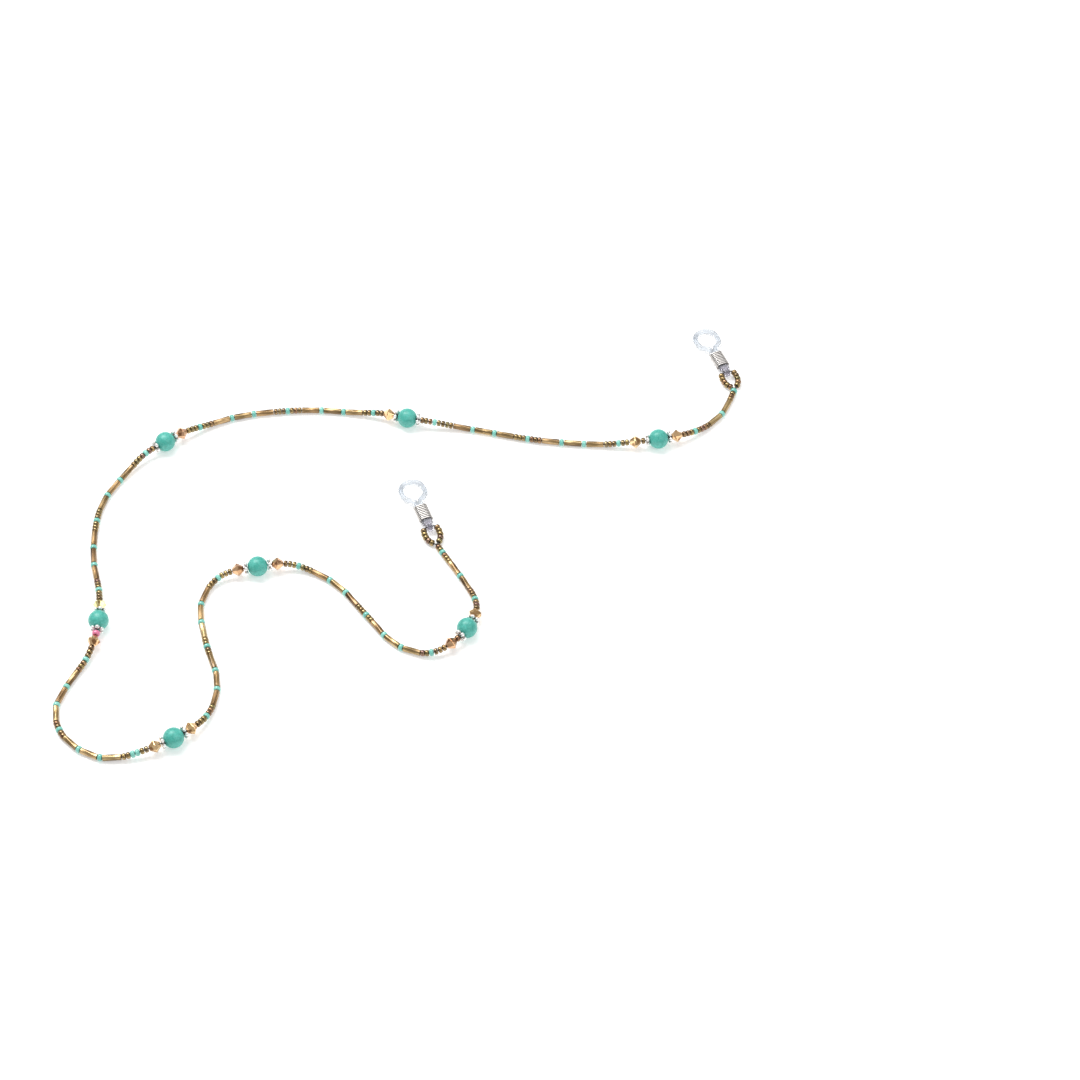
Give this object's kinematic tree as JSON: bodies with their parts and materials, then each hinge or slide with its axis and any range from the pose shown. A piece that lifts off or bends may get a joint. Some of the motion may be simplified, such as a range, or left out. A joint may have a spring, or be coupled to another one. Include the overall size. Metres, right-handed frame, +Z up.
{
  "type": "eyeglass retainer strap",
  "caption": "Beaded glasses chain of seed, bugle and round turquoise beads on a thread, with a silicone temple loop and a wire slider at each end.",
  "frame": {"origin": "centre of the whole object's box in plan, on the table surface it lies on", "axes": "+Z up from the table, +X along the longer side of the laid-out chain towards its first end"},
  "size_m": [0.2084, 0.1745, 0.0062],
  "materials": {
    "turquoise": "satin",
    "spacer_silver": "polished",
    "bicone_glass": "metallic",
    "bugle_glass": "metallic",
    "bronze_seed": "metallic",
    "turquoise_seed": "gloss",
    "rose_seed": "gloss",
    "thread": "matte",
    "silicone": "satin",
    "slider_silver": "polished"
  },
  "bodies": {
    "strand": {"daisy_spacers_1": "spacer_silver", "bicone_beads_1": "bicone_glass", "daisy_spacers_2": "spacer_silver", "bicone_beads_2": "bicone_glass", "daisy_spacers_3": "spacer_silver", "bicone_beads_3": "bicone_glass", "daisy_spacers_4": "spacer_silver", "bicone_beads_4": "bicone_glass", "daisy_spacers_5": "spacer_silver", "bicone_beads_5": "bicone_glass", "daisy_spacers_6": "spacer_silver", "bicone_beads_6": "bicone_glass", "daisy_spacers_7": "spacer_silver", "bicone_beads_7": "bicone_glass", "bugle_beads_1": "bugle_glass", "bronze_seeds_1": "bronze_seed", "turquoise_seeds_1": "turquoise_seed", "bugle_beads_2": "bugle_glass", "bronze_seeds_2": "bronze_seed", "turquoise_seeds_2": "turquoise_seed", "bugle_beads_3": "bugle_glass", "bronze_seeds_3": "bronze_seed", "turquoise_seeds_3": "turquoise_seed", "bugle_beads_4": "bugle_glass", "bronze_seeds_4": "bronze_seed", "turquoise_seeds_4": "turquoise_seed", "bugle_beads_5": "bugle_glass", "bronze_seeds_5": "bronze_seed", "turquoise_seeds_5": "turquoise_seed", "bugle_beads_6": "bugle_glass", "bronze_seeds_6": "bronze_seed", "turquoise_seeds_6": "turquoise_seed", "bugle_beads_7": "bugle_glass", "bronze_seeds_7": "bronze_seed", "turquoise_seeds_7": "turquoise_seed", "bugle_beads_8": "bugle_glass", "bronze_seeds_8": "bronze_seed", "turquoise_seeds_8": "turquoise_seed", "rose_seed": "rose_seed", "bead_thread": "thread", "ring_seeds_a": "bronze_seed", "ring_thread_a": "thread", "thread_knot_a": "thread", "ring_seeds_b": "bronze_seed", "ring_thread_b": "thread", "thread_knot_b": "thread"},
    "round_1": {"turquoise_bead_1": "turquoise"},
    "round_2": {"turquoise_bead_2": "turquoise"},
    "round_3": {"turquoise_bead_3": "turquoise"},
    "round_4": {"turquoise_bead_4": "turquoise"},
    "round_5": {"turquoise_bead_5": "turquoise"},
    "round_6": {"turquoise_bead_6": "turquoise"},
    "round_7": {"turquoise_bead_7": "turquoise"},
    "loop_a": {"temple_loop_a": "silicone"},
    "slider_a": {"wire_slider_a": "slider_silver"},
    "loop_b": {"temple_loop_b": "silicone"},
    "slider_b": {"wire_slider_b": "slider_silver"}
  },
  "joints": [
    {"name": "round_1_spin", "type": "hinge", "parent": "strand", "child": "round_1", "pos_m": [0.07667, 0.03681, 0.0031], "axis": [-0.9822, -0.1881, 0], "continuous": true},
    {"name": "round_2_spin", "type": "hinge", "parent": "strand", "child": "round_2", "pos_m": [-0.00301, 0.04576, 0.0031], "axis": [-0.9766, 0.2149, 0], "continuous": true},
    {"name": "round_3_spin", "type": "hinge", "parent": "strand", "child": "round_3", "pos_m": [-0.0792, 0.03565, 0.0031], "axis": [-0.7837, -0.6212, 0], "continuous": true},
    {"name": "round_4_spin", "type": "hinge", "parent": "strand", "child": "round_4", "pos_m": [-0.09358, -0.03673, 0.0031], "axis": [-0.0114, -0.9999, 0], "continuous": true},
    {"name": "round_5_spin", "type": "hinge", "parent": "strand", "child": "round_5", "pos_m": [-0.06759, -0.0807, 0.0031], "axis": [0.8452, 0.5345, 0], "continuous": true},
    {"name": "round_6_spin", "type": "hinge", "parent": "strand", "child": "round_6", "pos_m": [-0.04697, -0.01565, 0.0031], "axis": [0.9794, 0.2018, 0], "continuous": true},
    {"name": "round_7_spin", "type": "hinge", "parent": "strand", "child": "round_7", "pos_m": [0.01731, -0.03966, 0.0031], "axis": [0.5083, 0.8612, 0], "continuous": true},
    {"name": "loop_a_swing", "type": "hinge", "parent": "strand", "child": "loop_a", "pos_m": [0.09949, 0.06704, 0.00186], "axis": [0.9336, 0.3584, 0], "range_deg": [0, 120]},
    {"name": "slider_a_slide", "type": "slide", "parent": "loop_a", "child": "slider_a", "axis": [-0.3579, 0.9323, -0.0518], "range_m": [0, 0.0016]},
    {"name": "loop_b_swing", "type": "hinge", "parent": "strand", "child": "loop_b", "pos_m": [0.00504, 0.00131, 0.00186], "axis": [0.9397, 0.342, 0], "range_deg": [0, 120]},
    {"name": "slider_b_slide", "type": "slide", "parent": "loop_b", "child": "slider_b", "axis": [-0.3416, 0.9384, -0.0518], "range_m": [0, 0.0016]}
  ]
}
